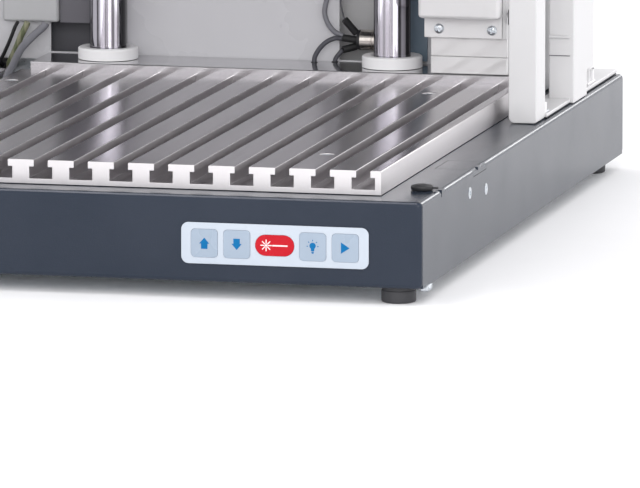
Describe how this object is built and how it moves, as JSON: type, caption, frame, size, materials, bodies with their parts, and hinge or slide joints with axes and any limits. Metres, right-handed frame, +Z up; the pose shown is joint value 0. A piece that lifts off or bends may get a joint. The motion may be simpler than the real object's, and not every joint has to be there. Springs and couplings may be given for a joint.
{
  "type": "benchtop laser workstation",
  "caption": "Benchtop laser workstation: slate base with keypad, T-slot table, guide columns, white tower, and a hood that slides down over the table.",
  "frame": {"origin": "middle of the footprint, on the surface the feet stand on", "axes": "+X to the right seen from the front, -Y towards the front, +Z up"},
  "size_m": [0.432, 0.6034, 0.64],
  "materials": {
    "slate_coat": "satin fine-texture powder coat",
    "white_coat": "satin powder coat",
    "mill_aluminium": "machined",
    "ground_bar": "ground",
    "hard_chrome": "polished",
    "white_plastic": "satin",
    "zinc_steel": "zinc plated",
    "rubber_black": "matte",
    "keypad_film": "satin film",
    "key_film": "satin film",
    "red_lens": "gloss",
    "tinted_acrylic": "transparent laser filter",
    "black_plastic": "moulded",
    "black_anodised": "anodised",
    "nickel": "nickel plated",
    "cable_grey": "matte",
    "cable_black": "matte",
    "cable_earth": "matte",
    "board": "coated"
  },
  "bodies": {
    "frame": {"back_wall": "white_coat", "base_shell": "slate_coat", "bottom_plate": "zinc_steel", "cable_arc": "cable_grey", "cable_connector": "nickel", "cable_earth": "cable_earth", "cable_left": "cable_grey", "cable_loop": "cable_grey", "cable_lower": "cable_grey", "column_collar_left": "white_plastic", "column_collar_right": "white_plastic", "control_board": "board", "deck_insert": "slate_coat", "deck_ledge_left": "white_coat", "deck_ledge_right": "white_coat", "exhaust_port": "black_plastic", "foot_front_left": "rubber_black", "foot_front_right": "rubber_black", "foot_rear_left": "rubber_black", "foot_rear_right": "rubber_black", "front_panel": "slate_coat", "front_post_left": "white_coat", "front_post_right": "white_coat", "guide_column_left": "hard_chrome", "guide_column_right": "hard_chrome", "hood_buffer_left": "rubber_black", "hood_buffer_right": "rubber_black", "hood_rail_left": "mill_aluminium", "hood_rail_right": "mill_aluminium", "indicator_lens": "red_lens", "keypad_panel": "keypad_film", "left_wall_cover": "white_coat", "lift_motor": "black_plastic", "mains_inlet": "black_plastic", "power_supply": "zinc_steel", "rear_bar": "ground_bar", "rear_cover": "white_coat", "rear_panel": "slate_coat", "rear_post_left": "white_coat", "rear_post_right": "white_coat", "right_duct": "white_coat", "right_wall_box": "white_coat", "sleeve_lower": "cable_black", "sleeve_middle": "cable_black", "sleeve_upper": "cable_black", "t_slot_table": "mill_aluminium", "top_bridge": "mill_aluminium", "upper_housing": "white_coat"},
    "hood": {"hood_shell": "white_coat", "hood_window": "tinted_acrylic", "hood_handle": "mill_aluminium"},
    "lift": {"lift_carriage": "mill_aluminium", "laser_head": "black_anodised", "scan_lens": "black_anodised"},
    "screw": {"lead_screw": "zinc_steel"},
    "key_up": {"key_up": "key_film"},
    "key_down": {"key_down": "key_film"},
    "key_light": {"key_light": "key_film"},
    "key_start": {"key_start": "key_film"},
    "switch": {"power_switch": "black_plastic"}
  },
  "joints": [
    {"name": "hood_slide", "type": "slide", "parent": "frame", "child": "hood", "axis": [0, 0, -1], "range_m": [0, 0.27]},
    {"name": "lift_slide", "type": "slide", "parent": "frame", "child": "lift", "axis": [0, 0, 1], "range_m": [-0.08, 0.06]},
    {"name": "screw_spin", "type": "hinge", "parent": "frame", "child": "screw", "pos_m": [0, 0.15, 0.345], "axis": [0, 0, 1], "range_deg": [-2885, 2165]},
    {"name": "key_up_press", "type": "slide", "parent": "frame", "child": "key_up", "axis": [0, 1, 0], "range_m": [0, 0.0005], "stiffness_N_per_m": 3000},
    {"name": "key_down_press", "type": "slide", "parent": "frame", "child": "key_down", "axis": [0, 1, 0], "range_m": [0, 0.0005], "stiffness_N_per_m": 3000},
    {"name": "key_light_press", "type": "slide", "parent": "frame", "child": "key_light", "axis": [0, 1, 0], "range_m": [0, 0.0005], "stiffness_N_per_m": 3000},
    {"name": "key_start_press", "type": "slide", "parent": "frame", "child": "key_start", "axis": [0, 1, 0], "range_m": [0, 0.0005], "stiffness_N_per_m": 3000},
    {"name": "switch_rock", "type": "hinge", "parent": "frame", "child": "switch", "pos_m": [-0.117, 0.2965, 0.036], "axis": [-1, 0, 0], "range_deg": [0, 16]}
  ],
  "couplings": [
    {"joint": "screw_spin", "follows": "lift_slide", "rad_per_m": 628.32}
  ]
}
